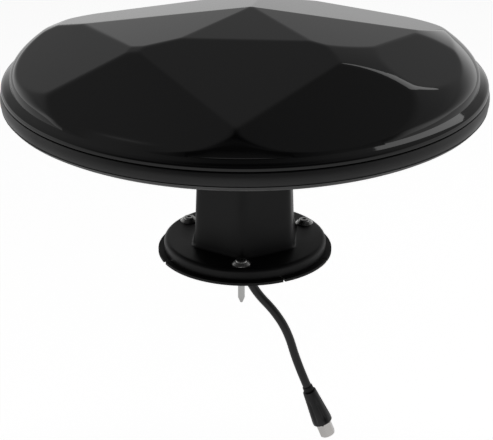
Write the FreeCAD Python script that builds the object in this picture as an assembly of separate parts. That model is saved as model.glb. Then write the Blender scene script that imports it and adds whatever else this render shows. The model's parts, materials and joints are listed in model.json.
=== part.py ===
"""Faceted dome antenna on a hexagonal stem, with a short coaxial lead and a screw-on plug.

Millimetres, +Z up, front towards -Y. The origin is the centre of the base gasket's underside,
where the antenna sits on a roof. The lead and the mounting screws go down through that roof.
"""
import FreeCAD, Part
import os
from math import asin, atan2, cos, degrees, pi, radians, sin, sqrt, tan

from FreeCAD import Placement, Rotation, Vector

os.makedirs("parts", exist_ok=True)

# --- radome: sizes inwards from its widest circle, and up or down from the seam ---
radome_r = 179.5          # widest circle, on the lower shell
shell_depth = 25.0        # from the lower shell's flat bottom to the seam
widest_drop = 8.0         # from the seam down to the widest circle
seam_inset = 1.5          # from the widest circle in to the shells' outside at the seam
seam_gap = 0.8            # gap at the seam, and thickness of the gasket in it
crown_rise = 57.1         # from the seam up to the point where the top facets meet
peak_x = 4.8              # how far that point stands to the right of the axis
crown_turn = -1.0         # turn of the whole facet pattern
edge_rise = 9.5           # from the seam up to the level that the facets' sizes refer to
edge_inset = 11.0         # from the widest circle in to the radius that they refer to
shoulder_inset = 11.5     # from the widest circle in to the foot of the steep round shoulder
shoulder_rise = 10.6      # height of that foot over the seam
shoulder_width = 16.0     # how far the shoulder runs inwards
shoulder_height = 18.5
cap_over = 3.0            # how far the round cap stands over the facets' point
brim_lip = 2.0            # upright edge of the brim at the seam
brim_round = 2.5          # rounding over that edge
brim_slope_width = 10.0   # sloping top of the brim, which the lower facets run down to
brim_slope_rise = 5.0
shell_wall = 2.8          # wall of both shells
land_width = 9.0          # width of the flat rims that meet at the seam
rim_flange = 3.2          # thickness of those rims

# --- underside of the lower shell ---
belly_flat_r = 60.0       # radius of the flat bottom, which rests on the stem
belly_inset = 15.0        # from the widest circle in to where the underside turns up
belly_rise = 8.0          # height of that turn over the flat bottom

# --- shell screws ---
cover_screw_count = 6
cover_screw_inset = 29.5   # from the widest circle in to the screw circle
cover_screw_r = 1.75
cover_screw_length = 20.0
cover_seat_rise = 13.0    # from the lower shell's bottom up to the screw heads' seats
cover_head_r = 3.5
cover_head_height = 2.4
boss_r = 5.4
gasket_in = 4.0           # from the seam's outside to the gasket
gasket_width = 3.0

# --- stem and its round foot ---
gasket_overhang = 4.5     # how far the base gasket stands out round the flange
base_gasket_t = 2.0
base_gasket_hole_r = 15.0
flange_r = 61.5
flange_t = 9.0
flange_shoulder = 3.0     # rounding of the flange's top edge
flange_skin = 3.6         # top wall of the flange over its pocket
flange_rim = 5.5          # side wall of the flange
stem_height = 99.0        # from the flange's top to the lower shell
stem_foot_r = 44.5        # hexagon, centre to corner, at the foot
stem_waist_r = 43.0       # just above the flared foot
stem_top_r = 38.6
stem_flare = 7.0          # height of the flare
stem_round = 8.0          # rounding of the hexagon's corners
stem_wall = 3.0
stem_plate_t = 5.0        # plate that closes the stem's top

# --- mounting screws ---
mount_count = 3
mount_inset = 10.0        # from the flange's outside to the screw circle
mount_shank_r = 2.35      # plain shank inside the foot
mount_screw_r = 2.5
mount_screw_below = 20.0  # length below the gasket
washer_r = 6.8
washer_height = 2.3
socket_across = 3.0       # hexagonal recess in a screw head

# --- neck, between the lower shell and the stem ---
neck_screw_circle = 25.0
neck_screw_r = 2.0
neck_screw_length = 14.0
neck_head_r = 3.7
neck_head_height = 2.6
neck_seal_r = 18.0
neck_seal_width = 2.4
neck_seal_t = 1.6

# --- electronics and aerial elements ---
board_x = 96.0
board_y = 66.0
board_t = 1.6
board_lift = 9.0          # height of the spacers under the board
board_inset = 5.0         # from the board's edge to its screws
spacer_r = 3.2
board_screw_r = 1.5
can_x = 30.0
can_y = 34.0
can_z = 11.0
can_wall = 0.8
can_gap = 2.0             # between the can and the feed hub
hub_r = 12.0
hub_height = 17.0
petal_inner = 7.0
petal_gap = 10.0          # between the petals' tips and the loop
petal_root = 10.0         # width at the centre
petal_tip = 72.0          # width at the outer end
petal_t = 1.0
petal_post_back = 22.0    # from the petals' outer ends in to their posts
petal_post_r = 3.5
petal_screw_circle = 9.6
petal_screw_r = 0.9
loop_inset = 44.5         # from the widest circle in to the loop's middle
loop_width = 6.0
loop_t = 1.5
loop_lift = 16.2          # height of the loop over the floor
loop_post_count = 6
loop_post_r = 3.0
wire_r = 0.6

# --- lead ---
lead_r = 3.4
clamp_height = 6.0
foot_plate_r = 30.0
foot_plate_t = 3.0
grommet_r = 6.0
grommet_collar = 2.0
route = [(0, 0, 0), (0, 0, -20), (9, 1, -38), (23, 2, -54), (33.5, 2, -72), (40.76, 2, -98.6), (49, 2, -119)]

# --- plug ---
boot_r = 4.1
boot_length = 4.5
grip_small_r = 5.5
grip_large_r = 8.0
grip_length = 30.0
grip_ribs = 8
post_r = 3.2
post_flange_r = 4.5
post_flange_t = 1.5
dielectric_r = 2.3
pin_r = 0.5
pin_reach = 5.0           # how far the pin stands out of the post
nut_across = 11.0
nut_bore_r = 4.72
nut_back = 5.5            # length of the nut behind the post's flange
nut_front = 6.0           # length of the nut ahead of the flange's back

# --- clearances ---
fit = 0.05                # round a screw in its own thread
slip = 0.3                # round a screw in a clearance hole
running = 0.07            # round the post inside the turning nut
apart = 0.1               # between pieces that only lie together

# --- what follows from the sizes above ---
flange_top = base_gasket_t + flange_t
base_gasket_r = flange_r + gasket_overhang
mount_circle = flange_r - mount_inset
belly_z = flange_top + stem_height
floor_z = belly_z + shell_wall
belly_edge_r = radome_r - belly_inset
belly_edge_z = belly_z + belly_rise
seam_z = belly_z + shell_depth
seam_low = seam_z - seam_gap / 2
seam_high = seam_z + seam_gap / 2
seam_r = radome_r - seam_inset
widest_z = seam_z - widest_drop
crown_z = seam_z + crown_rise
crown_edge_r = radome_r - edge_inset
crown_edge_z = seam_z + edge_rise
shoulder_r = radome_r - shoulder_inset
shoulder_z = seam_z + shoulder_rise
cover_screw_circle = radome_r - cover_screw_inset
cover_seat_z = belly_z + cover_seat_rise
board_z = floor_z + board_lift
board_top = board_z + board_t
petal_z = board_top + hub_height
loop_r = radome_r - loop_inset
loop_z = floor_z + loop_lift
petal_outer = loop_r - loop_width / 2 - petal_gap
petal_post_circle = petal_outer - petal_post_back

# Facets of the crown: (turn from the front, height on the axis, reach at the crown edge).
# Height is a share of the crown's height over its edge, and reach is a share of the edge's
# radius. Each facet away from the front and back has a mirror image on the other side.
facets = [
    (0.0, 1.0, 3.62), (98.7, 1.0, 2.03), (151.0, 1.0, 1.07),
    (0.0, 1.296, 1.20), (71.0, 1.67, 1.115), (121.0, 1.73, 1.137), (180.0, 1.296, 1.017),
    (25.3, 2.05, 0.989), (154.7, 2.05, 0.989),
]


def cylinder(r, low, high, x=0.0, y=0.0):
    """Upright cylinder between two heights."""
    return Part.makeCylinder(r, high - low, Vector(x, y, low))


def ring(outer, inner, low, high, x=0.0, y=0.0):
    """Upright tube between two heights."""
    return cylinder(outer, low, high, x, y).cut(cylinder(inner, low - 1, high + 1, x, y))


def box(x, y, low, high, cx=0.0, cy=0.0):
    """Block centred on (cx, cy) between two heights."""
    return Part.makeBox(x, y, high - low, Vector(cx - x / 2, cy - y / 2, low))


def spun(profile):
    """Solid of revolution about Z from (r, z) corners; a corner of three numbers is an arc's middle."""
    edges = []
    last = Vector(profile[0][0], 0, profile[0][1])
    middle = None
    for corner in profile[1:] + profile[:1]:
        here = Vector(corner[0], 0, corner[1])
        if len(corner) == 3:
            middle = here
            continue
        edges.append((Part.Arc(last, middle, here) if middle else Part.LineSegment(last, here)).toShape())
        last, middle = here, None
    return Part.Face(Part.Wire(edges)).revolve(Vector(), Vector(0, 0, 1), 360)


def polar(r, turn):
    """Point at a radius, turned from the front (-Y) towards +X."""
    return r * sin(radians(turn)), -r * cos(radians(turn))


def around(count, r, first=0.0):
    """Evenly spaced points on a circle, the first one at a given turn."""
    return [polar(r, first + 360.0 * i / count) for i in range(count)]


def fused(shapes):
    """One solid from overlapping ones."""
    whole = shapes[0].multiFuse(shapes[1:]) if len(shapes) > 1 else shapes[0]
    return whole.removeSplitter()


def hexagon(corner_r, z, rounding, first=0.0):
    """Closed wire of a hexagon with rounded corners."""
    back = rounding * tan(pi / 6)
    inset = rounding / cos(pi / 6) - rounding
    corners = [Vector(*polar(corner_r, first + 60 * i), z) for i in range(6)]
    starts, mids, ends = [], [], []
    for i, corner in enumerate(corners):
        before = (corners[i - 1] - corner).normalize()
        after = (corners[(i + 1) % 6] - corner).normalize()
        inward = (Vector(0, 0, z) - corner).normalize()
        starts.append(corner + before * back)
        mids.append(corner + inward * inset)
        ends.append(corner + after * back)
    edges = []
    for i in range(6):
        edges.append(Part.Arc(starts[i], mids[i], ends[i]).toShape())
        edges.append(Part.LineSegment(ends[i], starts[(i + 1) % 6]).toShape())
    return Part.Wire(edges)


def hex_prism(across, low, high):
    """Sharp hexagonal prism, sized across its flats."""
    corner_r = across / 2 / cos(pi / 6)
    points = [Vector(*polar(corner_r, 60 * i), low) for i in range(7)]
    return Part.Face(Part.makePolygon(points)).extrude(Vector(0, 0, high - low))


def export(node, *shapes):
    """Write one node, as one solid or as a group of separate solids."""
    shape = shapes[0] if len(shapes) == 1 else Part.makeCompound(list(shapes))
    solids = shape.Solids
    print(f"{node}: {len(solids)} solid(s), volume {shape.Volume:.0f}, valid {shape.isValid()}")
    shape.exportStep(f"parts/{node}.step")


# --- radome shells ---

def facet_cutter(turn, height_share, reach_share, inset):
    """Block whose underside is one facet's plane, moved inwards by inset."""
    rise = height_share * (crown_z - crown_edge_z)
    slope = rise / (reach_share * crown_edge_r)
    tilt = degrees(atan2(slope, 1.0))
    size = 4 * radome_r
    block = Part.makeBox(size, size, size, Vector(-size / 2, -size / 2, 0))
    top = crown_edge_z + rise - inset * sqrt(1 + slope * slope)
    return block.transformed(
        Placement(Vector(peak_x, 0, top), Rotation(Vector(0, 0, 1), turn + crown_turn) * Rotation(Vector(1, 0, 0), tilt)).toMatrix()
    )


def faceted_body(inset):
    """Round cap with a steep shoulder, cut by every facet's plane, shrunk by inset on every side."""
    low = seam_high + 0.8
    foot = (shoulder_r + 2.5 - inset, low)
    edge = (shoulder_r - inset, shoulder_z - inset)
    top_z = crown_z + cap_over - inset
    inner = (edge[0] - shoulder_width, edge[1] + shoulder_height)
    bulge = (edge[0] - shoulder_width * 0.36, edge[1] + shoulder_height * 0.5)
    chord = (inner[0] * 0.56, inner[1] + (top_z - inner[1]) * 0.72)
    body = spun([
        (0, low), foot, edge, (bulge[0], bulge[1], "arc"), inner, (chord[0], chord[1], "arc"), (0, top_z),
    ])
    for turn, height_share, reach_share in facets:
        turns = (turn,) if turn in (0.0, 180.0) else (turn, -turn)
        for side_turn in turns:
            body = body.cut(facet_cutter(side_turn, height_share, reach_share, inset))
    return body


def brim():
    """Round brim above the seam: an upright lip, a small rounding and a sloping top under the facets."""
    lip_z = seam_high + brim_lip
    slope_r = seam_r - brim_round
    slope_z = lip_z + brim_round
    top_r = slope_r - brim_slope_width
    top_z = slope_z + brim_slope_rise
    return spun([
        (0, seam_high), (seam_r, seam_high), (seam_r, lip_z),
        (seam_r - brim_round * 0.35, lip_z + brim_round * 0.7, "arc"), (slope_r, slope_z),
        (top_r, top_z), (0, top_z),
    ])


def upper_cover():
    """Faceted crown with a flat rim and six screw bosses."""
    outer = faceted_body(0.0).fuse(brim()).removeSplitter()
    ceiling = seam_high + rim_flange
    inner = faceted_body(shell_wall).common(cylinder(radome_r, ceiling, crown_z))
    throat = cylinder(seam_r - land_width, seam_high - 1, ceiling + 0.5)
    shell = outer.cut(inner.fuse(throat))
    high = shoulder_z + shoulder_height
    reach = outer.fuse(cylinder(cover_screw_circle + boss_r + 1, seam_low, seam_high + 1))
    bosses = [cylinder(boss_r, seam_low, high, x, y).common(reach)
              for x, y in around(cover_screw_count, cover_screw_circle)]
    whole = fused([shell] + bosses)
    depth = cover_seat_z + cover_screw_length + 1
    for x, y in around(cover_screw_count, cover_screw_circle):
        whole = whole.cut(cylinder(cover_screw_r + fit, seam_low - 1, depth, x, y))
    return whole


def lower_shell():
    """Shallow dish with a flat belly, a rounded side and a flat rim."""
    outer = spun([
        (0, belly_z), (belly_flat_r, belly_z), (belly_edge_r, belly_edge_z),
        (radome_r - 3.6, widest_z - 5.4, "arc"), (radome_r, widest_z),
        (radome_r - 0.25, (widest_z + seam_low) / 2, "arc"), (seam_r, seam_low), (0, seam_low),
    ])
    wall_top = seam_low - rim_flange
    inner = spun([
        (0, floor_z), (belly_flat_r, floor_z), (belly_edge_r - 1, belly_edge_z + shell_wall),
        (radome_r - shell_wall - 4.2, widest_z - 3.2, "arc"), (radome_r - shell_wall - 0.6, widest_z),
        (seam_r - shell_wall, wall_top), (seam_r - land_width, wall_top), (seam_r - land_width, seam_low + 1),
        (0, seam_low + 1),
    ])
    posts = [cylinder(boss_r, belly_z, seam_low, x, y).common(outer)
             for x, y in around(cover_screw_count, cover_screw_circle)]
    whole = fused([outer.cut(inner)] + posts)
    for x, y in around(cover_screw_count, cover_screw_circle):
        whole = whole.cut(cylinder(cover_screw_r + slip, belly_z, seam_low + 1, x, y))
        whole = whole.cut(cylinder(cover_head_r + slip, belly_z - 1, cover_seat_z, x, y))
    for x, y in around(mount_count, neck_screw_circle, 60):
        whole = whole.cut(cylinder(neck_screw_r + slip, belly_z - 1, floor_z + 1, x, y))
    return whole.cut(cylinder(lead_r + slip, belly_z - 1, floor_z + 1))


def rim_gasket():
    """Flat rubber ring between the shells' rims."""
    outer = seam_r - gasket_in
    return ring(outer, outer - gasket_width, seam_low, seam_high)


def headed_screw(r, length, head_r, head_height):
    """Screw pointing down from z = 0, with a rounded head above it and a hexagonal recess."""
    screw = spun([
        (0, -length), (r - 0.5, -length), (r, -length + 0.5), (r, 0), (head_r, 0), (head_r, head_height * 0.45),
        (head_r * 0.86, head_height * 0.86, "arc"), (head_r * 0.5, head_height), (0, head_height),
    ])
    return screw.cut(hex_prism(r * 1.1, head_height * 0.4, head_height + 1))


def cover_screws():
    """Six screws that go up through the lower shell into the upper cover."""
    screw = headed_screw(cover_screw_r, cover_screw_length, cover_head_r, cover_head_height)
    screw.rotate(Vector(), Vector(1, 0, 0), 180)
    return [screw.translated(Vector(x, y, cover_seat_z)) for x, y in around(cover_screw_count, cover_screw_circle)]


# --- stem, foot and what fastens them ---

def stem_loft(inset, low, high):
    """Tapered hexagon with a flared foot, between two levels."""
    rounding = max(stem_round - inset, 1.0)
    corner = inset / cos(pi / 6)
    waist_z = flange_top + stem_flare
    run = belly_z - waist_z
    top_r = stem_waist_r + (stem_top_r - stem_waist_r) * (high - waist_z) / run
    sections = [
        hexagon(stem_foot_r - corner, low, rounding),
        hexagon(stem_waist_r - corner, waist_z, rounding),
        hexagon(top_r - corner, high, rounding),
    ]
    return Part.makeLoft(sections, True, True)


def foot_flange():
    """Round foot: a cap with a hollow underside, three screw seats and a hexagonal opening."""
    edge = flange_r - flange_shoulder
    lean = flange_shoulder * (1 - sqrt(0.5))
    flange = spun([
        (0, base_gasket_t), (flange_r, base_gasket_t), (flange_r, flange_top - flange_shoulder),
        (flange_r - lean, flange_top - lean, "arc"), (edge, flange_top), (0, flange_top),
    ])
    pocket = cylinder(flange_r - flange_rim, base_gasket_t - 1, flange_top - flange_skin)
    bosses = [cylinder(washer_r, base_gasket_t, flange_top, x, y).common(flange)
              for x, y in around(mount_count, mount_circle)]
    opening = Part.Face(hexagon(stem_foot_r - stem_wall / cos(pi / 6), base_gasket_t - 1, stem_round - stem_wall))
    opening = opening.extrude(Vector(0, 0, flange_t + 2))
    foot = fused([flange.cut(pocket).cut(opening)] + bosses)
    for x, y in around(mount_count, mount_circle):
        foot = foot.cut(cylinder(mount_screw_r + slip, base_gasket_t - 1, flange_top + 1, x, y))
    return foot


def hex_stem():
    """Hollow hexagonal stem that stands on the foot flange, closed at the top by a plate."""
    outer = stem_loft(0.0, flange_top, belly_z)
    inner = stem_loft(stem_wall, flange_top, belly_z - stem_plate_t)
    plugs = [cylinder(neck_screw_r + 2.6, belly_z - stem_plate_t - neck_screw_length, belly_z - 1, x, y)
             for x, y in around(mount_count, neck_screw_circle, 60)]
    whole = fused([outer.cut(inner)] + plugs)
    for x, y in around(mount_count, neck_screw_circle, 60):
        whole = whole.cut(cylinder(neck_screw_r + fit, belly_z - neck_screw_length, belly_z + 1, x, y))
    groove = ring(neck_seal_r, neck_seal_r - neck_seal_width, belly_z - neck_seal_t, belly_z + 1)
    return whole.cut(groove).cut(cylinder(lead_r + slip, belly_z - stem_plate_t - 1, belly_z + 1))


def neck_seal():
    """Rubber ring in the stem's top groove, under the lower shell."""
    return ring(neck_seal_r - apart, neck_seal_r - neck_seal_width + apart, belly_z - neck_seal_t, belly_z)


def neck_screws():
    """Three screws from inside the lower shell down into the stem."""
    screw = headed_screw(neck_screw_r, neck_screw_length - 1, neck_head_r, neck_head_height)
    return [screw.translated(Vector(x, y, floor_z)) for x, y in around(mount_count, neck_screw_circle, 60)]


def base_gasket():
    """Rubber disc under the foot, a little wider than the flange, with three notches in its edge."""
    disc = ring(base_gasket_r, base_gasket_hole_r, 0, base_gasket_t)
    for x, y in around(mount_count, mount_circle):
        disc = disc.cut(cylinder(mount_screw_r + slip, -1, base_gasket_t + 1, x, y))
    for turn, width in ((-63.0, 4.0), (29.0, 1.6), (72.0, 1.6)):
        depth = base_gasket_r - flange_r
        notch = Part.makeBox(width, 2 * depth, base_gasket_t + 2, Vector(-width / 2, -base_gasket_r - depth, -1))
        notch.rotate(Vector(), Vector(0, 0, 1), turn)
        disc = disc.cut(notch)
    return disc


def screw_washers():
    """Three dished washers under the mounting screws' heads."""
    hole = mount_screw_r + apart
    dish = spun([
        (hole, 0), (washer_r, 0), (washer_r, 0.5), (washer_r - 1.9, washer_height), (washer_r - 2.4, washer_height),
        (hole, 0.8),
    ])
    return [dish.translated(Vector(x, y, flange_top)) for x, y in around(mount_count, mount_circle)]


def mounting_screws():
    """Three screws that hold the foot down, seated in their dished washers."""
    head_r = washer_r - 2.4 - apart
    below = flange_top + mount_screw_below
    thread_top = flange_top + 0.5
    screw = spun([
        (0, -below), (mount_screw_r - 1.6, -below), (mount_screw_r, 4.0 - below), (mount_screw_r, -thread_top),
        (mount_shank_r, -thread_top), (mount_shank_r, 0.9),
        (head_r, washer_height + apart), (head_r * 0.93, washer_height + 0.8, "arc"),
        (head_r * 0.62, washer_height + 1.2), (0, washer_height + 1.2),
    ])
    screw = screw.cut(hex_prism(socket_across, washer_height - 1.2, washer_height + 2))
    return [screw.translated(Vector(x, y, flange_top)) for x, y in around(mount_count, mount_circle)]


def foot_plate():
    """Disc that closes the hollow foot and carries the lead's grommet."""
    return ring(foot_plate_r, grommet_r + fit, base_gasket_t, base_gasket_t + foot_plate_t)


def lead_grommet():
    """Rubber sleeve round the lead where it leaves the foot."""
    shelf = base_gasket_t + foot_plate_t
    sleeve = fused([cylinder(grommet_r, 0, shelf + grommet_collar),
                    cylinder(grommet_r + 2, shelf, shelf + grommet_collar)])
    return sleeve.cut(cylinder(lead_r + fit, -1, shelf + grommet_collar + 1))


# --- inside the radome ---

def inner_lead():
    """Straight stretch of the lead inside the stem, from the board to the foot."""
    return cylinder(lead_r, 0, board_z)


def clamp_points():
    """Where the cable clamp's two screws stand."""
    return [(-11.0, 0.0), (11.0, 0.0)]


def cable_clamp():
    """Saddle round the lead, screwed to the lower shell's floor."""
    body = box(30, 10, floor_z, floor_z + clamp_height)
    body = body.cut(cylinder(lead_r + fit, floor_z - 1, floor_z + clamp_height + 1))
    for x, y in clamp_points():
        body = body.cut(cylinder(board_screw_r + fit, floor_z - 1, floor_z + clamp_height + 1, x, y))
    return body


def small_screw(length):
    """Board-size screw, pointing down from z = 0."""
    return headed_screw(board_screw_r, length, board_screw_r * 1.8, board_screw_r)


def clamp_screws():
    """Two screws through the cable clamp."""
    screw = small_screw(clamp_height - 0.5)
    return [screw.translated(Vector(x, y, floor_z + clamp_height)) for x, y in clamp_points()]


def board_points():
    """Where the board's four screws stand."""
    x = board_x / 2 - board_inset
    y = board_y / 2 - board_inset
    return [(x, y), (-x, y), (-x, -y), (x, -y)]


def main_board():
    """Circuit board over the lower shell's floor."""
    board = box(board_x, board_y, board_z, board_top)
    for x, y in board_points():
        board = board.cut(cylinder(board_screw_r + slip, board_z - 1, board_top + 1, x, y))
    return board


def board_spacers():
    """Four threaded spacers between the floor and the board."""
    return [ring(spacer_r, board_screw_r + fit, floor_z, board_z, x, y) for x, y in board_points()]


def board_screws():
    """Four screws that hold the board on its spacers."""
    screw = small_screw(board_t + board_lift * 0.7)
    return [screw.translated(Vector(x, y, board_top)) for x, y in board_points()]


def can_centre():
    """Middle of the amplifier's screening can on the board, just clear of the feed hub."""
    return hub_r + can_gap + can_x / 2, 0.0


def amplifier_can():
    """Four-sided metal fence round the amplifier."""
    cx, cy = can_centre()
    outer = box(can_x, can_y, board_top, board_top + can_z, cx, cy)
    return outer.cut(box(can_x - 2 * can_wall, can_y - 2 * can_wall, board_top - 1, board_top + can_z + 1, cx, cy))


def can_lid():
    """Lid that closes the screening can."""
    cx, cy = can_centre()
    top = board_top + can_z
    rim = box(can_x + 2 * can_wall, can_y + 2 * can_wall, top - 3, top, cx, cy)
    rim = rim.cut(box(can_x + 2 * fit, can_y + 2 * fit, top - 4, top + 1, cx, cy))
    return fused([rim, box(can_x + 2 * can_wall, can_y + 2 * can_wall, top, top + can_wall, cx, cy)])


def feed_hub():
    """Round block on the board that carries the petals' inner ends."""
    hub = cylinder(hub_r, board_top, petal_z)
    for x, y in around(4, petal_screw_circle, 45):
        hub = hub.cut(cylinder(petal_screw_r + fit, petal_z - 7, petal_z + 1, x, y))
    return hub


def radiator_petals():
    """Four stamped plates that widen outwards, as two crossed dipoles."""
    root, tip = petal_root / 2, petal_tip / 2
    outline = [Vector(-root, -petal_inner, 0), Vector(root, -petal_inner, 0), Vector(tip, -petal_outer, 0),
               Vector(-tip, -petal_outer, 0), Vector(-root, -petal_inner, 0)]
    plate = Part.Face(Part.makePolygon(outline)).extrude(Vector(0, 0, petal_t))
    window = Part.Face(Part.makePolygon([
        Vector(0, -petal_inner - 24, -1), Vector(tip * 0.45, -petal_outer + 34, -1),
        Vector(-tip * 0.45, -petal_outer + 34, -1), Vector(0, -petal_inner - 24, -1),
    ])).extrude(Vector(0, 0, petal_t + 2))
    plate = plate.cut(window)
    plate = plate.cut(cylinder(petal_screw_r + slip, -1, petal_t + 1, 0, -petal_screw_circle))
    plates = []
    for i in range(4):
        turned = plate.copy()
        turned.rotate(Vector(), Vector(0, 0, 1), 45 + 90 * i)
        plates.append(turned.translated(Vector(0, 0, petal_z)))
    return plates


def petal_screws():
    """Four small screws through the petals' inner ends."""
    screw = headed_screw(petal_screw_r, 6, petal_screw_r * 1.8, petal_screw_r)
    return [screw.translated(Vector(x, y, petal_z + petal_t)) for x, y in around(4, petal_screw_circle, 45)]


def floor_at(r):
    """Level of the lower shell's inside floor at a radius."""
    share = (r - belly_flat_r) / (belly_edge_r - 1 - belly_flat_r)
    return floor_z + max(share, 0.0) * (belly_edge_z - belly_z)


def standing_post(r, x, y, top):
    """Round post whose foot is cut to the sloping floor."""
    post = cylinder(r, floor_z - 2, top, x, y)
    clear = 0.02
    slope_solid = spun([
        (0, floor_z - 9), (belly_edge_r, floor_z - 9), (belly_edge_r - 1, floor_at(belly_edge_r - 1) + clear),
        (belly_flat_r, floor_z + clear), (0, floor_z + clear),
    ])
    return post.cut(slope_solid)


def petal_posts():
    """Four plastic posts under the petals' outer parts."""
    return [standing_post(petal_post_r, x, y, petal_z) for x, y in around(4, petal_post_circle, 45)]


def loop_points():
    """Where the loop's posts stand, between the shell screws."""
    return around(loop_post_count, loop_r, 30)


def vhf_loop():
    """Flat metal ring for the lower band."""
    loop = ring(loop_r + loop_width / 2, loop_r - loop_width / 2, loop_z, loop_z + loop_t)
    for x, y in loop_points():
        loop = loop.cut(cylinder(loop_post_r * 0.5 + apart, loop_z - 1, loop_z + loop_t + 1, x, y))
    return loop


def loop_posts():
    """Six plastic posts with a pin through the loop and a staked head over it."""
    posts = []
    for x, y in loop_points():
        post = standing_post(loop_post_r, x, y, loop_z)
        pin = cylinder(loop_post_r * 0.5, loop_z - 1, loop_z + loop_t + 1, x, y)
        head = cylinder(loop_post_r * 0.9, loop_z + loop_t, loop_z + loop_t + 1, x, y)
        posts.append(fused([post, pin, head]))
    return posts


def phasing_leads():
    """Two wires from the loop to the board."""
    wires = []
    for side in (-1, 1):
        start = Vector(side * (loop_r - loop_width / 2 - apart), 0, loop_z + wire_r)
        end = Vector(side * (board_x / 2 - 1), 0, board_top + wire_r + apart)
        run = end - start
        wires.append(Part.makeCylinder(wire_r, run.Length, start, run))
    return wires


# --- lead and plug ---

def rounded_path(points):
    """Straight runs joined by tangent arcs, each as large as its two runs allow."""
    corners = [Vector(*p) for p in points]
    edges = []
    here = corners[0]
    radii = []
    for before, corner, after in zip(corners, corners[1:], corners[2:]):
        arrive = (corner - before).normalize()
        leave = (after - corner).normalize()
        half_turn = asin((leave - arrive).Length / 2)
        back = 0.45 * min((corner - before).Length, (after - corner).Length)
        radius = back / tan(half_turn)
        inset = radius / cos(half_turn) - radius
        start = corner - arrive * back
        end = corner + leave * back
        middle = corner + (leave - arrive).normalize() * inset
        edges.append(Part.LineSegment(here, start).toShape())
        edges.append(Part.Arc(start, middle, end).toShape())
        radii.append(round(radius, 1))
        here = end
    edges.append(Part.LineSegment(here, corners[-1]).toShape())
    return Part.Wire(edges), radii


def coax_lead():
    """Free stretch of the lead, from the foot's underside to the plug."""
    path, radii = rounded_path(route)
    section = Part.Wire(Part.makeCircle(lead_r, Vector(*route[0]), Vector(0, 0, -1)))
    tube = path.makePipeShell([section], True, False)
    print(f"coax_lead: length {path.Length:.1f}, bend radii {radii}")
    print(f"coax_lead: volume {tube.Volume:.0f}, section times length {pi * lead_r ** 2 * path.Length:.0f}")
    return tube


def on_plug(shape):
    """Move a piece made along +Z from the origin onto the end of the lead."""
    start = Vector(*route[-1])
    along = start - Vector(*route[-2])
    turn = Rotation(Vector(0, 0, 1), along)
    return shape.transformed(Placement(start, turn).toMatrix())


def grip_end():
    """Distance along the plug where the grip stops."""
    return boot_length + grip_length


def flange_back():
    """Distance along the plug of the back of the post's flange."""
    return grip_end() + 0.4 + nut_back


def plug_boot():
    """Soft collar where the lead enters the plug."""
    return on_plug(spun([(0, 0), (boot_r - 0.3, 0), (boot_r, 1), (boot_r, boot_length), (0, boot_length)]))


def plug_body():
    """Moulded grip that widens towards the nut, with shallow ribs along it."""
    body = spun([
        (0, boot_length), (grip_small_r - 0.6, boot_length), (grip_small_r, boot_length + 0.8),
        (grip_large_r, grip_end() - 3), (grip_large_r, grip_end() - 0.8), (grip_large_r - 0.8, grip_end()),
        (0, grip_end()),
    ])
    for x, y in around(grip_ribs, grip_large_r + 1.2):
        low, high = boot_length + 9, grip_end() - 5
        groove = Part.makeCylinder(1.0, high - low, Vector(x * 0.80, y * 0.80, low), Vector(x * 0.008, y * 0.008, 1))
        body = body.cut(groove)
    return on_plug(body.cut(cylinder(post_r + fit, grip_end() - 8, grip_end() + 1)))


def plug_post():
    """Metal tube fixed in the grip, with the flange that keeps the nut on."""
    back = flange_back()
    tube = spun([
        (dielectric_r + fit, grip_end() - 8), (post_r, grip_end() - 8), (post_r, back), (post_flange_r, back),
        (post_flange_r, back + post_flange_t), (dielectric_r + fit, back + post_flange_t),
    ])
    return on_plug(tube)


def plug_dielectric():
    """White insulation round the pin."""
    return on_plug(ring(dielectric_r, pin_r + fit, grip_end() - 8, flange_back() + post_flange_t))


def centre_pin():
    """Copper centre conductor, which is the plug's pin."""
    tip = flange_back() + post_flange_t + pin_reach
    return on_plug(spun([(0, grip_end() - 8), (pin_r, grip_end() - 8), (pin_r, tip - 0.4), (pin_r - 0.25, tip), (0, tip)]))


def coupling_nut():
    """Hexagonal nut that turns freely on the post behind its flange."""
    low = grip_end() + 0.4
    back = flange_back()
    high = back + nut_front
    corner_r = nut_across / 2 / cos(pi / 6)
    blank = hex_prism(nut_across, low, high)
    blank = blank.common(spun([
        (0, low), (nut_across / 2, low), (corner_r, low + 0.9), (corner_r, high - 0.9), (nut_across / 2, high), (0, high),
    ]))
    blank = blank.cut(cylinder(post_r + running, low - 1, back))
    return on_plug(blank.cut(cylinder(nut_bore_r, back - apart, high + 1)))


def build():
    """Write every node."""
    export("upper_cover", upper_cover())
    export("lower_shell", lower_shell())
    export("rim_gasket", rim_gasket())
    export("cover_screws", *cover_screws())
    export("foot_flange", foot_flange())
    export("hex_stem", hex_stem())
    export("neck_seal", neck_seal())
    export("neck_screws", *neck_screws())
    export("base_gasket", base_gasket())
    export("screw_washers", *screw_washers())
    export("mounting_screws", *mounting_screws())
    export("foot_plate", foot_plate())
    export("lead_grommet", lead_grommet())
    export("inner_lead", inner_lead())
    export("cable_clamp", cable_clamp())
    export("clamp_screws", *clamp_screws())
    export("main_board", main_board())
    export("board_spacers", *board_spacers())
    export("board_screws", *board_screws())
    export("amplifier_can", amplifier_can())
    export("can_lid", can_lid())
    export("feed_hub", feed_hub())
    export("radiator_petals", *radiator_petals())
    export("petal_screws", *petal_screws())
    export("petal_posts", *petal_posts())
    export("vhf_loop", vhf_loop())
    export("loop_posts", *loop_posts())
    export("phasing_leads", *phasing_leads())
    export("coax_lead", coax_lead())
    export("plug_boot", plug_boot())
    export("plug_body", plug_body())
    export("plug_post", plug_post())
    export("plug_dielectric", plug_dielectric())
    export("centre_pin", centre_pin())
    export("coupling_nut", coupling_nut())


build()
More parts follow.
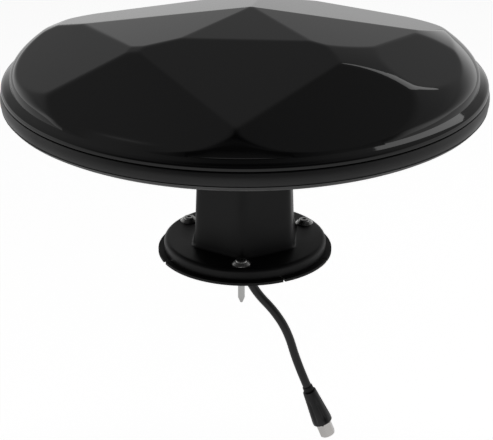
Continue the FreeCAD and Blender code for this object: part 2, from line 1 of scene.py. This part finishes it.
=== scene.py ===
# %% [markdown]
# # A faceted dome antenna on a hexagonal stem
# The dome hides two crossed pairs of metal petals, a ring and a small amplifier. It does not turn: it
# listens in every direction at once. A hexagonal stem carries it on a round foot that is screwed to a
# roof, and a short coaxial lead leaves the foot underneath. This lesson starts from the packed
# mechanical model, which already says where everything is, and gives each piece its final surface
# and finish.

import json

import bmesh
import bpy
import numpy as np
from math import cos, pi, radians, sin
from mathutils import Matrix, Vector


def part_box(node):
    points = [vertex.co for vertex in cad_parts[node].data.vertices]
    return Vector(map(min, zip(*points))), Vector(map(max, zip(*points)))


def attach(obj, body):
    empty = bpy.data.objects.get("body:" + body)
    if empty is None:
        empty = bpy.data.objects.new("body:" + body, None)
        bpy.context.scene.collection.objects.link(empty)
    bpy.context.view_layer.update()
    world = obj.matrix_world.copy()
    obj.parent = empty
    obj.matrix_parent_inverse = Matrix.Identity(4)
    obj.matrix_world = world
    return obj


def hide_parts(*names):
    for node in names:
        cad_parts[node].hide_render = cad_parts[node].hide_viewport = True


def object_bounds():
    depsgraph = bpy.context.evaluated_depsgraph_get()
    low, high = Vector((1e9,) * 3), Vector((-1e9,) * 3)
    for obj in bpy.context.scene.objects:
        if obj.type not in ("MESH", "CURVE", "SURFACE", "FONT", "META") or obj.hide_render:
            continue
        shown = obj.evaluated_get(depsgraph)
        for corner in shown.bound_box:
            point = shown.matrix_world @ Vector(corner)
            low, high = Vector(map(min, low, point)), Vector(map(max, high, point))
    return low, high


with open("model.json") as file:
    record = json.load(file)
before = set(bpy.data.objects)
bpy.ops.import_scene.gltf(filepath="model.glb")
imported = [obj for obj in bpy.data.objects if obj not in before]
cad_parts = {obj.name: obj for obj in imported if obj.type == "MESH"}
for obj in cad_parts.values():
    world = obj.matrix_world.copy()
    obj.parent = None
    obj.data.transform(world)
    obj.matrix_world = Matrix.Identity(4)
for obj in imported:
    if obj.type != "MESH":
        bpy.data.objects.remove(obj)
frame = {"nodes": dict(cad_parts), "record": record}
cad_low, cad_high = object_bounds()
nodes = frame["nodes"]
MM = 0.001
print(f"{len(nodes)} nodes, box {tuple(cad_low)} to {tuple(cad_high)}")

# %% [markdown]
# ## The sizes that everything follows
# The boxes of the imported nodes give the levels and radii: the seam between the two shells, the widest
# circle, the stem's two ends and the foot. Everything below is worked out from them, so the new
# surfaces cover the mechanical ones without any fitting.

# %% Levels and radii, in metres
shell_low, shell_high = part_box("lower_shell")
cover_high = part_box("upper_cover")[1]
stem_low, stem_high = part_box("hex_stem")
foot_low, foot_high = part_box("foot_flange")

belly_z = shell_low.z
seam_low = shell_high.z
seam_gap = 0.8 * MM
seam_high = seam_low + seam_gap
seam_z = seam_low + seam_gap / 2
wide_r = shell_high.x
seam_r = cover_high.x
peak_z = seam_z + 57.1 * MM
peak_x = 4.8 * MM
crown_turn = radians(-1.0)
wall = 2.8 * MM
land = 9.0 * MM
land_step = 3.2 * MM
print(f"seam at {seam_z:.4f}, radius {seam_r:.4f}; peak at {peak_z:.4f}; the box says {cover_high.z:.4f}")

# %% [markdown]
# ## The camera
# A long lens stands well back and looks down on the dome a little from the right, so that the front
# corner of the stem sits just left of the middle. The camera comes before any surface, because the
# lead and the outline of the dome are judged through it.

# %% Camera
camera_data = bpy.data.cameras.new("camera")
camera = bpy.data.objects.new("camera", camera_data)
bpy.context.scene.collection.objects.link(camera)
bpy.context.scene.camera = camera

camera_turn = radians(2.9)
camera_rise = radians(23.69)
camera_distance = 1.383
camera_data.sensor_width = 36.0
camera_data.lens = 133.1

to_right = Vector((cos(camera_turn), sin(camera_turn), 0))
backwards = Vector((sin(camera_turn) * cos(camera_rise), -cos(camera_turn) * cos(camera_rise),
                    sin(camera_rise)))
aim_right = 1.2 * MM
aim_z = 23.7 * MM
aim = to_right * aim_right + Vector((0, 0, aim_z))
camera.location = aim + backwards * camera_distance
camera.rotation_mode = "QUATERNION"
camera.rotation_quaternion = (-backwards).to_track_quat("-Z", "Y")
print(f"camera at {tuple(round(x, 3) for x in camera.location)}, lens {camera_data.lens:.0f} mm")

# %% [markdown]
# ## The lead
# A coaxial lead is stiff, so it leaves the foot straight down and swings out in one easy bend before
# it hangs from its own weight and its plug's. Its line is a smooth spline whose control points are
# the route's own corners: a spline of order three cuts gently inside each of them, which is how a
# real cable rounds its bends. The jacket is the same 6.8 mm all the way.

# %% The lead's route and the lead
lead_r = 3.4 * MM
route = [(0, 0, 0), (0, 0, -0.020), (0.009, 0.001, -0.038), (0.023, 0.002, -0.054),
         (0.0335, 0.002, -0.072), (0.04076, 0.002, -0.0986), (0.049, 0.002, -0.119)]


def smooth_cord(name, points, radius):
    """A round cord whose centre line is an order-three spline with these control points."""
    curve = bpy.data.curves.new(name, "CURVE")
    curve.dimensions = "3D"
    spline = curve.splines.new("NURBS")
    spline.points.add(len(points) - 1)
    for control, place in zip(spline.points, points):
        control.co = (*place, 1)
    spline.order_u = 3
    spline.use_endpoint_u = True
    spline.resolution_u = 24
    curve.bevel_depth = radius
    curve.bevel_resolution = 7
    curve.use_fill_caps = True
    piece = bpy.data.objects.new(name, curve)
    bpy.context.scene.collection.objects.link(piece)
    return piece


lead = smooth_cord("lead", route, lead_r)
plug_start = Vector(route[-1])
plug_along = (plug_start - Vector(route[-2])).normalized()
print(f"the lead ends at {tuple(plug_start)} and points along {tuple(round(x, 2) for x in plug_along)}")

# %% [markdown]
# ## From a grid of points to a closed piece
# Most pieces here are turned or lofted, so each one is a grid: rows follow a profile and columns go
# round the axis. The whole grid is worked out at once as an array, and one helper turns it into a
# mesh. Rows run from the top outwards and down, which makes every face point outwards. Rows that lie
# on the axis close into a single point when doubles are merged.

# %% Helpers for grids
def lift_mesh(name, rows, sharp=40.0):
    """Mesh from rows x columns x 3 points: columns close round, and each four neighbours are a face."""
    count, around = rows.shape[:2]
    index = np.arange(count * around).reshape(count, around)
    after = np.roll(index, -1, axis=1)
    faces = np.stack([index[:-1], index[1:], after[1:], after[:-1]], axis=-1).reshape(-1, 4)
    mesh = bpy.data.meshes.new(name)
    mesh.from_pydata(rows.reshape(-1, 3), [], faces)
    work = bmesh.new()
    work.from_mesh(mesh)
    bmesh.ops.remove_doubles(work, verts=work.verts, dist=1e-7)
    bmesh.ops.dissolve_degenerate(work, edges=work.edges, dist=1e-8)
    work.to_mesh(mesh)
    work.free()
    mesh.polygons.foreach_set("use_smooth", np.ones(len(mesh.polygons), bool))
    mesh.set_sharp_from_angle(angle=radians(sharp))
    piece = bpy.data.objects.new(name, mesh)
    bpy.context.scene.collection.objects.link(piece)
    print(f"{name}: {len(mesh.polygons)} faces")
    return piece


def turns(count):
    """Evenly spaced angles round the axis, from the front (-Y) towards +X."""
    return np.arange(count) * 2 * pi / count


def place_round(r, z, turn):
    """Points at radius r and height z for each angle; r and z broadcast over rows and angles."""
    r, z, turn = np.broadcast_arrays(r, z, turn)
    return np.stack([r * np.sin(turn), -r * np.cos(turn), z], axis=-1)


def rounded_profile(corners, steps=8):
    """A profile through (r, z, rounding) corners: each rounding is a curve that leaves the corner by
    that distance on both sides and passes half-way between the corner and the chord."""
    points = []
    places = [np.array(c[:2], float) for c in corners]
    for i, (here, corner) in enumerate(zip(places, corners)):
        if corner[2] == 0 or i in (0, len(corners) - 1):
            points.append(here[None])
            continue
        before, after = places[i - 1] - here, places[i + 1] - here
        start = here + before / np.linalg.norm(before) * corner[2]
        end = here + after / np.linalg.norm(after) * corner[2]
        t = np.linspace(0, 1, steps)[:, None]
        points.append((1 - t) ** 2 * start + 2 * t * (1 - t) * here + t ** 2 * end)
    return np.concatenate(points)


def spun(name, corners, around=256, steps=8, sharp=40.0):
    """Closed piece of revolution from a rounded profile, given in metres from the top outwards."""
    profile = rounded_profile(corners, steps)
    return lift_mesh(name, place_round(profile[:, :1], profile[:, 1:], turns(around)[None]), sharp)


# %% [markdown]
# ## The crown
# The top shell looks cut like a gem: flat facets meet along straight ridges, and a steep round
# shoulder and a sloping brim turn them into a full circle at the seam. Cutting planes with booleans
# gives knife edges, but a moulded shell has ridges a few millimetres wide that catch the light. So
# the height over each point is a *soft* least of all the facets' planes: minus the logarithm of a sum
# of exponentials, which is the plain least with its corners eased. The easing grows towards the rim,
# where the facets fade away. A facet's height share is its plane's height over the axis, compared
# with the peak's, and its reach share is how far out the plane comes down to the edge's height,
# compared with the edge's radius. Both are mirrored to the other side, and the peak stands a little
# to the right of the axis.

# %% Facets, as (turn from the front, height share, reach share)
facets = [
    (0.0, 1.0, 3.62), (98.7, 1.0, 2.03), (151.0, 1.0, 1.07),
    (0.0, 1.296, 1.20), (71.0, 1.67, 1.115), (121.0, 1.73, 1.137), (180.0, 1.296, 1.017),
    (25.3, 2.05, 0.989), (154.7, 2.05, 0.989),
]
edge_r = wide_r - 11.0 * MM
edge_z = seam_z + 9.5 * MM
shoulder_r = wide_r - 8.5 * MM
shoulder_z = seam_z + 10.6 * MM
shoulder_width = 19.0 * MM
shoulder_height = 18.5 * MM
brim_lip = 2.0 * MM
brim_round = 2.5 * MM
brim_width = 10.0 * MM
brim_rise = 5.0 * MM
brim_ease = 0.2 * MM
cap_over = 3 * MM
cap_power = 2.3
shoulder_power = 0.68
shoulder_fall = 20
ridge_ease = 0.08 * MM
rim_ease = 0.6 * MM
easing_from = 0.140
easing_width = 0.035
brim_blend = 0.3 * MM
slope_r = seam_r - brim_round
slope_z = seam_high + brim_lip + brim_round


def soft_least(heights, ease):
    """Least of several heights with eased corners: minus ease times the log of the summed exponentials."""
    least = heights.min(axis=0)
    return least - ease * np.log(np.exp(-(heights - least) / ease).sum(axis=0))


def crown_height(r, turn):
    """Height of the crown: the soft least of every facet's plane, of a round cap and of its steep
    shoulder, and then the soft greater of that and the brim's sloping top."""
    r, turn = np.broadcast_arrays(r, turn)
    sheets = []
    for face_turn, height_share, reach_share in facets:
        rise = height_share * (peak_z - edge_z)
        slope = rise / (reach_share * edge_r)
        for side in {face_turn, -face_turn % 360}:
            away = radians(side) + crown_turn
            sheets.append(edge_z + rise - slope * (r * np.cos(turn - away) - peak_x * sin(away)))
    inner_r = shoulder_r - shoulder_width
    inner_z = shoulder_z + shoulder_height
    cap = inner_z + (peak_z + cap_over - inner_z) * (1 - np.clip(r / inner_r, 0, 2) ** cap_power)
    inside = np.clip((shoulder_r - r) / shoulder_width, 1e-4, None)
    shoulder = (shoulder_z + shoulder_height * inside ** shoulder_power
                - shoulder_fall * np.clip(r - shoulder_r, 0, None))
    sheets += [cap, shoulder]
    ease = ridge_ease + rim_ease * np.clip((r - easing_from) / easing_width, 0, 1) ** 2
    body = soft_least(np.array(sheets), ease)
    brim = soft_least(np.array([slope_z + (slope_r - r) * brim_rise / brim_width,
                                np.full(r.shape, slope_z + brim_rise)]), brim_ease)
    return -soft_least(-np.array([body, brim]), brim_blend)


# %% [markdown]
# The crown's rows run from the peak out over the facets, round the brim's edge, under the flat land
# that meets the lower shell, and back inside under the roof to the axis, so it is one closed shell.

# %% The crown's surface
around_crown = turns(384)[None]
facets_end = 0.148
out_r = np.concatenate([np.linspace(0, facets_end, 108),
                        np.linspace(facets_end + 1 * MM, slope_r, 40)])[:, None]
roof = place_round(out_r, crown_height(out_r, around_crown), around_crown)
edge_corners = [(slope_r, slope_z, 0), (seam_r - 0.2 * MM, slope_z - 1.4 * MM, 1.3 * MM),
                (seam_r, seam_high, 0.5 * MM), (seam_r - land, seam_high, 0.3 * MM),
                (seam_r - land, seam_high + land_step, 0)]
edge = rounded_profile(edge_corners, 7)[1:]
rim = place_round(edge[:, :1], edge[:, 1:], around_crown)
in_r = np.linspace(seam_r - land - 0.5 * MM, 0, 40)[:, None]
upright_wall = wall * 1.1
ceiling = np.maximum(crown_height(in_r, around_crown) - upright_wall, seam_high + land_step)
inner_roof = place_round(in_r, ceiling, around_crown)
crown = lift_mesh("crown_shell", np.concatenate([roof, rim, inner_roof]), 50.0)
top = crown_height(np.array([[0.0]]), np.array([[0.0]]))[0, 0]
print(f"crown peak {top:.4f}, CAD {cover_high.z:.4f}")

# %% [markdown]
# ## The lower shell
# Under the seam the shell bulges to the widest circle, turns in with a generous radius and runs
# almost flat to the stem. It is one profile spun round the axis, with the bulge and the turn as
# curves, and it is closed on the inside like the crown.

# %% The lower shell
belly_flat_r = 60 * MM
belly_round = 12 * MM
widest_z = seam_z - 8.5 * MM
dish = spun("lower_dish", [
    (seam_r - land, seam_low - land_step, 0), (seam_r - land, seam_low, 0.3 * MM), (seam_r, seam_low, 0.5 * MM),
    (wide_r + 0.35 * MM, widest_z, 6.0 * MM), (wide_r - 6.5 * MM, seam_z - 16.6 * MM, 8.0 * MM),
    (belly_flat_r, belly_z, belly_round), (0, belly_z, 0),
    (0, belly_z + wall, 0), (belly_flat_r, belly_z + wall, belly_round),
    (wide_r - 8.5 * MM, seam_z - 13.4 * MM, 6.0 * MM), (wide_r - 3.2 * MM, widest_z, 3.0 * MM),
    (seam_r - wall, seam_low - land_step, 0), (seam_r - land, seam_low - land_step, 0),
], around=320, steps=12)
print(f"lower dish: flat out to {belly_flat_r:.3f}, widest at {widest_z:.4f}")

# %% [markdown]
# ## The stem and its foot
# One moulding carries the dome: a hexagonal tube that tapers upwards, a flare that spreads into the
# round foot, and the foot's soft edge. Round and hexagonal rows have to blend into each other, so
# every row is a mixture: `share` is 0 for a hexagon and 1 for a circle. The hexagon itself is a
# power mean over its six flats, which rounds its corners without a single arc.

# %% A hexagon with eased corners
hexagon_power = 24


def hexagon_r(corner_r, turn):
    """Radius of a hexagon with eased corners: the flats' distance divided by the power mean of how
    squarely each direction faces the six flats."""
    flats = radians(30) + np.arange(6) * radians(60)
    facing = np.clip(np.cos(turn[..., None] - flats), 0, None) ** hexagon_power
    return corner_r * cos(radians(30)) * facing.sum(axis=-1) ** (-1 / hexagon_power)


eased_share = 2 ** (-1 / hexagon_power)
print(f"easing leaves {eased_share:.3f} of a sharp corner's radius")

# %% [markdown]
# The rows are written as (share, reach, height) from the top down: the closed top, the long taper,
# the flare at its foot, a small fillet, the foot's face with its round edge, and the underside.

# %% The stem
corner_low = -stem_low.y / eased_share
corner_high = corner_low - 5.9 * MM
flare_r = corner_low - 2.3 * MM
spread_r = corner_low + 1.2 * MM
stem_top = stem_high.z
foot_r = foot_high.x
foot_top = foot_high.z
flare_top = foot_top + 17 * MM
foot_round = 3 * MM
flat_r = foot_r - foot_round

top_rows = [(0.0, 0.0, stem_top), (0.0, corner_high - 1.0 * MM, stem_top),
            (0.0, corner_high - 0.2 * MM, stem_top - 0.3 * MM)]
taper_rows = [(0.0, corner_high + (flare_r - corner_high) * s, stem_top - 1 * MM + (flare_top - stem_top) * s)
              for s in np.linspace(0, 1, 12)]
flare_rows = [(0.0, flare_r + 1.9 * MM * s ** 1.5, foot_top + (16.0 - 14.6 * s) * MM)
              for s in np.linspace(0.1, 1, 8)]
fillet_rows = [(0.0, corner_low - 0.4 * MM + 1.6 * MM * s, foot_top + 1.4 * MM * (1 - s) ** 2)
               for s in np.linspace(0.15, 1, 7)]
face_rows = [(s, spread_r * (1 - s) + flat_r * s, foot_top) for s in np.linspace(0.2, 1, 6)]
edge_rows = [(1.0, flat_r + foot_round * sin(a), foot_top - foot_round + foot_round * cos(a))
             for a in np.linspace(0.15, pi / 2, 9)]
under_rows = [(1.0, foot_r, foot_low.z + 0.4 * MM), (1.0, foot_r - 0.3 * MM, foot_low.z),
              (1.0, 0.0, foot_low.z)]
stem_rows = np.array(top_rows + taper_rows + flare_rows + fillet_rows + face_rows + edge_rows + under_rows)
stem_turn = turns(360)[None]
share, reach, height = (stem_rows[:, i:i + 1] for i in range(3))
stem_reach = reach * (share + (1 - share) * hexagon_r(1.0, stem_turn))
stem = lift_mesh("stem_and_foot", place_round(stem_reach, height, stem_turn), 35.0)
print(f"stem corner {corner_low:.4f} below and {corner_high:.4f} above")

# %% [markdown]
# ## The plug
# The lead ends in a moulded grip that widens towards a metal nut. A soft collar steps down to the
# jacket, broad shallow flutes run along the grip for the fingers, and the nut, post and pin stay as
# the mechanical model has them. The pieces are made upright and then carried to the end of the lead.

# %% Collar and grip
plug_side = plug_along.cross(Vector((0, 1, 0))).normalized()
plug_other = plug_along.cross(plug_side)
plug_axes = np.array([plug_side, plug_other, plug_along])


def on_plug(rows):
    """Carry points made along +Z onto the lead's end."""
    return rows @ plug_axes + np.array(plug_start)


def plug_grid(profile, turn, flute=0.0, flutes=6):
    """Rows along the plug, with flutes as a cosine that fades in and out along it."""
    r, z = profile[:, :1], profile[:, 1:]
    fade = np.clip((z - 10 * MM) / (6 * MM), 0, 1) * np.clip((34 * MM - z) / (6 * MM), 0, 1)
    dip = flute * fade * np.clip(np.cos(flutes * turn), 0, 1) ** 1.5
    r = np.clip(r - dip * (r > 1 * MM), 0, None)
    return on_plug(np.stack([r * np.cos(turn), -r * np.sin(turn), z + 0 * turn], axis=-1))


plug_turn = turns(120)[None]
grip_start = 4.5 * MM
grip_end = 34.5 * MM
collar_r = 4.1 * MM
grip_slim_r = 5.3 * MM
grip_wide_r = 7.9 * MM
collar_profile = rounded_profile([(0, 0, 0), (3.9 * MM, 0, 0.4 * MM), (collar_r, 1.0 * MM, 0.4 * MM),
                                  (collar_r, grip_start, 0.2 * MM), (0, grip_start, 0)], 5)
collar = lift_mesh("plug_collar", plug_grid(collar_profile, plug_turn), 50.0)
grip_line = rounded_profile([(0, grip_start, 0), (grip_slim_r, grip_start, 0.7 * MM),
                             (grip_wide_r, grip_end - 3 * MM, 1.2 * MM), (grip_wide_r, grip_end, 0.9 * MM),
                             (0, grip_end, 0)], 7)
# The flutes need rows along the plain slope between the two roundings, which end and start here.
slope_start, slope_end = grip_line[7], grip_line[8]
along_slope = np.linspace(0, 1, 26)[1:-1, None]
grip_profile = np.concatenate([grip_line[:8], slope_start + along_slope * (slope_end - slope_start),
                               grip_line[8:]])
grip = lift_mesh("plug_grip", plug_grid(grip_profile, plug_turn, flute=0.9 * MM), 50.0)

# %% [markdown]
# ## Finishes
# Every finish is procedural and reads the piece's own coordinates. Gloss black is harder than it
# sounds: the colour is almost nothing, and what is seen is the surface. So its roughness drifts a
# little, as a polished moulding's does, and a very fine ripple breaks the reflections. The satin
# parts carry the fine spark-eroded grain of their moulds, and the metals are drawn or turned.

# %% A builder for finishes
def finish(name, colour, roughness, metal=0.0, spread=0.15, grain=(900.0, 0.02), drift=14.0,
           stretch=(1, 1, 1), rough_spread=0.25, **constants):
    """Principled finish whose colour and roughness drift with a slow noise and whose surface has a
    fine grain: colour varies by the share `spread`, roughness by `rough_spread`."""
    material = bpy.data.materials.new(name)
    material.use_nodes = True
    tree = material.node_tree
    shader = tree.nodes["Principled BSDF"]
    shader.inputs["Metallic"].default_value = metal
    for socket, value in constants.items():
        shader.inputs[socket.replace("_", " ")].default_value = value
    place = tree.nodes.new("ShaderNodeTexCoord")
    mapping = tree.nodes.new("ShaderNodeMapping")
    mapping.inputs["Scale"].default_value = stretch
    tree.links.new(place.outputs["Object"], mapping.inputs["Vector"])
    slow = tree.nodes.new("ShaderNodeTexNoise")
    slow.inputs["Scale"].default_value = drift
    slow.inputs["Detail"].default_value = 3.0
    tree.links.new(mapping.outputs["Vector"], slow.inputs["Vector"])
    shade = tree.nodes.new("ShaderNodeValToRGB")
    shade.color_ramp.elements[0].position = 0.3
    shade.color_ramp.elements[1].position = 0.7
    shade.color_ramp.elements[0].color = (*[c * (1 - spread) for c in colour], 1)
    shade.color_ramp.elements[1].color = (*[c * (1 + spread) for c in colour], 1)
    tree.links.new(slow.outputs["Fac"], shade.inputs["Fac"])
    tree.links.new(shade.outputs["Color"], shader.inputs["Base Color"])
    sheen = tree.nodes.new("ShaderNodeMapRange")
    sheen.inputs["From Min"].default_value = 0.3
    sheen.inputs["From Max"].default_value = 0.7
    sheen.inputs["To Min"].default_value = roughness * (1 - rough_spread)
    sheen.inputs["To Max"].default_value = min(roughness * (1 + rough_spread), 1.0)
    tree.links.new(slow.outputs["Fac"], sheen.inputs["Value"])
    tree.links.new(sheen.outputs["Result"], shader.inputs["Roughness"])
    fine = tree.nodes.new("ShaderNodeTexNoise")
    fine.inputs["Scale"].default_value = grain[0]
    fine.inputs["Detail"].default_value = 2.0
    tree.links.new(mapping.outputs["Vector"], fine.inputs["Vector"])
    bump = tree.nodes.new("ShaderNodeBump")
    bump.inputs["Strength"].default_value = grain[1]
    bump.inputs["Distance"].default_value = 0.0002
    tree.links.new(fine.outputs["Fac"], bump.inputs["Height"])
    tree.links.new(bump.outputs["Normal"], shader.inputs["Normal"])
    return material


def wear(piece, material):
    """Give one finish to a whole piece."""
    piece.data.materials.clear()
    piece.data.materials.append(material)


# %% [markdown]
# The blacks come first. The crown's gloss has an index of 1.5 and almost no colour of its own; the
# satin of the lower shell scatters the pale surroundings enough to look dark grey. The stem is a
# darker satin with a lower index, so that it throws less of the pale floor back.

# %% Black mouldings, rubber and jacket
gloss = finish("gloss_black", (0.0032, 0.0032, 0.0035), 0.05, grain=(60.0, 0.02), drift=9.0, IOR=1.5)
satin = finish("satin_black", (0.0060, 0.0060, 0.0064), 0.36, grain=(1400.0, 0.10), IOR=1.5)
stem_satin = finish("stem_satin", (0.0050, 0.0050, 0.0054), 0.42, grain=(1400.0, 0.12), IOR=1.36)
rubber = finish("black_rubber", (0.0050, 0.0050, 0.0050), 0.62, grain=(700.0, 0.25), rough_spread=0.12,
                IOR=1.45)
jacket = finish("cable_jacket", (0.0080, 0.0080, 0.0085), 0.34, grain=(500.0, 0.12), drift=40.0, IOR=1.5)
grip_plastic = finish("plug_moulding", (0.0080, 0.0080, 0.0085), 0.42, grain=(1200.0, 0.15), drift=40.0,
                      IOR=1.5)
print("six black finishes")

# %% [markdown]
# The metals follow. Stretching the noise along one axis turns it into the drawn lines of rolled
# sheet or the rings of a turned part.

# %% Metals
stainless = finish("stainless_steel", (0.60, 0.60, 0.59), 0.28, metal=1.0, spread=0.08,
                   grain=(1500.0, 0.10))
nickel = finish("nickel_plate", (0.70, 0.68, 0.66), 0.16, metal=1.0, spread=0.06, grain=(900.0, 0.05),
                drift=60.0)
aluminium = finish("mill_aluminium", (0.72, 0.73, 0.74), 0.34, metal=1.0, spread=0.06,
                   grain=(400.0, 0.12), stretch=(1, 14, 1))
tin = finish("tin_plate", (0.66, 0.66, 0.64), 0.24, metal=1.0, spread=0.10, grain=(300.0, 0.05),
             drift=180.0)
brass = finish("turned_brass", (0.72, 0.50, 0.22), 0.25, metal=1.0, spread=0.08, grain=(900.0, 0.08),
               stretch=(1, 1, 8))
copper = finish("bare_copper", (0.80, 0.42, 0.28), 0.30, metal=1.0, spread=0.12, grain=(900.0, 0.08))

# %% [markdown]
# Inside the dome there are natural nylon posts and a circuit board under green solder mask.

# %% Nylon and circuit board
nylon = finish("natural_nylon", (0.78, 0.77, 0.73), 0.45, spread=0.04, grain=(600.0, 0.08),
               Subsurface_Weight=0.1)
board = finish("solder_mask", (0.020, 0.13, 0.055), 0.22, spread=0.35, grain=(260.0, 0.25), drift=220.0,
               IOR=1.5)

# %% [markdown]
# ## Dressing the pieces
# The new surfaces ride on the antenna's body and hide the plain solids that they stand for. The
# nodes that stay visible, and the ones hidden in the dome, get their finishes here too. The coupling
# nut is the one piece that moves: it keeps its own node, so it turns by itself.

# %% New pieces ride, replace and take their finishes
dressing = [
    (crown, gloss, "radome_gloss", ["upper_cover"]),
    (dish, satin, "shell_satin", ["lower_shell"]),
    (stem, stem_satin, "stem_satin", ["hex_stem", "foot_flange"]),
    (lead, jacket, "jacket_black", ["coax_lead"]),
    (collar, rubber, "black_rubber", ["plug_boot"]),
    (grip, grip_plastic, "jacket_black", ["plug_body"]),
]
for piece, material, slot_name, stood_for in dressing:
    wear(piece, material)
    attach(piece, "antenna")
    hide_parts(*stood_for)

slot_finishes = {
    "radome_gloss": gloss, "shell_satin": satin, "stem_satin": stem_satin, "black_rubber": rubber,
    "stainless": stainless, "nickel": nickel, "jacket_black": jacket, "circuit_green": board,
    "aluminium": aluminium, "tin_plate": tin, "white_nylon": nylon, "brass": brass, "copper": copper,
}
slot_of = {part["node"]: part["material_slot"] for part in frame["record"]["subparts"]}
for name, node in nodes.items():
    wear(node, slot_finishes[slot_of[name]])
print(f"{len(dressing)} new pieces, {len(nodes)} nodes dressed")

# %% [markdown]
# ## The light
# A mirror-black gem shows its surroundings and nothing else. The sky here is bright at the horizon
# and falls away to dark overhead, so each facet, tilted a little more than the one behind it, mirrors
# a darker part of the sky. The sky also darkens towards the front, so that the stem and the low front
# of the crown stay black. One softbox draws the bright strip on the right of the brim. Two wide
# lamps, which mirrors can't see, light the floor and the front.

# %% The sky
world = bpy.data.worlds.new("studio")
bpy.context.scene.world = world
world.use_nodes = True
sky_tree = world.node_tree
background = sky_tree.nodes["Background"]
direction = sky_tree.nodes.new("ShaderNodeTexCoord")
split = sky_tree.nodes.new("ShaderNodeSeparateXYZ")
sky = sky_tree.nodes.new("ShaderNodeValToRGB")
sky_tree.links.new(direction.outputs["Generated"], split.inputs["Vector"])
sky_tree.links.new(split.outputs["Z"], sky.inputs["Fac"])
sky_tree.links.new(sky.outputs["Color"], background.inputs["Color"])
levels = [(0.0, 0.95), (0.22, 0.42), (0.30, 0.28), (0.33, 0.26), (0.38, 0.27), (0.46, 0.25),
          (0.56, 0.25), (0.84, 0.20), (0.89, 0.17), (0.94, 0.11), (0.99, 0.01)]
ramp = sky.color_ramp.elements
ramp.remove(ramp[1])
ramp[0].position, horizon = levels[0]
ramp[0].color = (horizon, horizon, horizon, 1)
for place, level in levels[1:]:
    ramp.new(place).color = (level, level, level, 1)

# %% The sky's dark front
front_dim = sky_tree.nodes.new("ShaderNodeMapRange")
front_dim.interpolation_type = "SMOOTHSTEP"
front_dim.inputs["From Min"].default_value = -0.75
front_dim.inputs["From Max"].default_value = 0.20
front_dim.inputs["To Min"].default_value = 0.10
front_dim.inputs["To Max"].default_value = 1.0
sky_tree.links.new(split.outputs["Y"], front_dim.inputs["Value"])
sky_tree.links.new(front_dim.outputs["Result"], background.inputs["Strength"])
print(f"sky from {horizon} at the horizon to {levels[-1][1]} overhead, in {len(ramp)} stops")


# %% The lamps
def softbox(name, towards, distance, size, radiance, seen=True):
    """Rectangular lamp in a direction from the dome, facing it, with a given brightness of its face."""
    data = bpy.data.lights.new(name, "AREA")
    data.shape = "RECTANGLE"
    data.size, data.size_y = size
    data.energy = radiance * pi * size[0] * size[1]
    lamp = bpy.data.objects.new(name, data)
    bpy.context.scene.collection.objects.link(lamp)
    turn, rise = radians(towards[0]), radians(towards[1])
    out = Vector((sin(turn) * cos(rise), cos(turn) * cos(rise), sin(rise)))
    lamp.location = out * distance + Vector((0, 0, seam_z))
    lamp.rotation_mode = "QUATERNION"
    lamp.rotation_quaternion = (-out).to_track_quat("-Z", "Y")
    lamp.visible_glossy = seen
    return lamp


softbox("floor_fill", (0, 89), 3.2, (3.0, 3.0), 0.75, seen=False)
softbox("front_fill", (180, 35), 3.0, (2.5, 1.5), 0.5, seen=False)
softbox("right_strip", (38, 44), 2.2, (0.50, 1.10), 1.25)

# %% [markdown]
# ## The floor
# The floor is plain and pale, well below the hanging plug, so the dome's soft shadow stays out of
# the way. To the camera it is given some light of its own, and less than half as much in
# reflections, so that it stays a clean white without more lamps on the object.

# %% The floor
floor_drop = 0.20
floor_z = cad_low.z - floor_drop
half = 9.0
camera_glow = 0.72
mirror_share = 0.45
floor_mesh = bpy.data.meshes.new("floor")
floor_corners = [(-half, -half, floor_z), (half, -half, floor_z), (half, half, floor_z), (-half, half, floor_z)]
floor_mesh.from_pydata(floor_corners, [], [(0, 1, 2, 3)])
floor = bpy.data.objects.new("floor", floor_mesh)
bpy.context.scene.collection.objects.link(floor)
print(f"floor at {floor_z:.3f}")

# %% The floor's paint
paint = bpy.data.materials.new("pale_floor")
paint.use_nodes = True
tree = paint.node_tree
tree.nodes.remove(tree.nodes["Principled BSDF"])
matt = tree.nodes.new("ShaderNodeBsdfDiffuse")
matt.inputs["Color"].default_value = (0.86, 0.86, 0.86, 1)
glow = tree.nodes.new("ShaderNodeEmission")
glow.inputs["Color"].default_value = (1, 1, 1, 1)
path = tree.nodes.new("ShaderNodeLightPath")
seen_by = tree.nodes.new("ShaderNodeMath")
seen_by.operation = "MULTIPLY_ADD"
seen_by.inputs[1].default_value = mirror_share
strength = tree.nodes.new("ShaderNodeMath")
strength.operation = "MULTIPLY"
strength.inputs[1].default_value = camera_glow
tree.links.new(path.outputs["Is Glossy Ray"], seen_by.inputs[0])
tree.links.new(path.outputs["Is Camera Ray"], seen_by.inputs[2])
tree.links.new(seen_by.outputs["Value"], strength.inputs[0])
tree.links.new(strength.outputs["Value"], glow.inputs["Strength"])
both = tree.nodes.new("ShaderNodeAddShader")
tree.links.new(matt.outputs["BSDF"], both.inputs[0])
tree.links.new(glow.outputs["Emission"], both.inputs[1])
tree.links.new(both.outputs["Shader"], tree.nodes["Material Output"].inputs["Surface"])
floor_mesh.materials.append(paint)

# %% [markdown]
# ## Finishing
# The view transform stays plain, so that a colour renders as it is written.

# %% Finish
bpy.context.scene.view_settings.view_transform = "Standard"
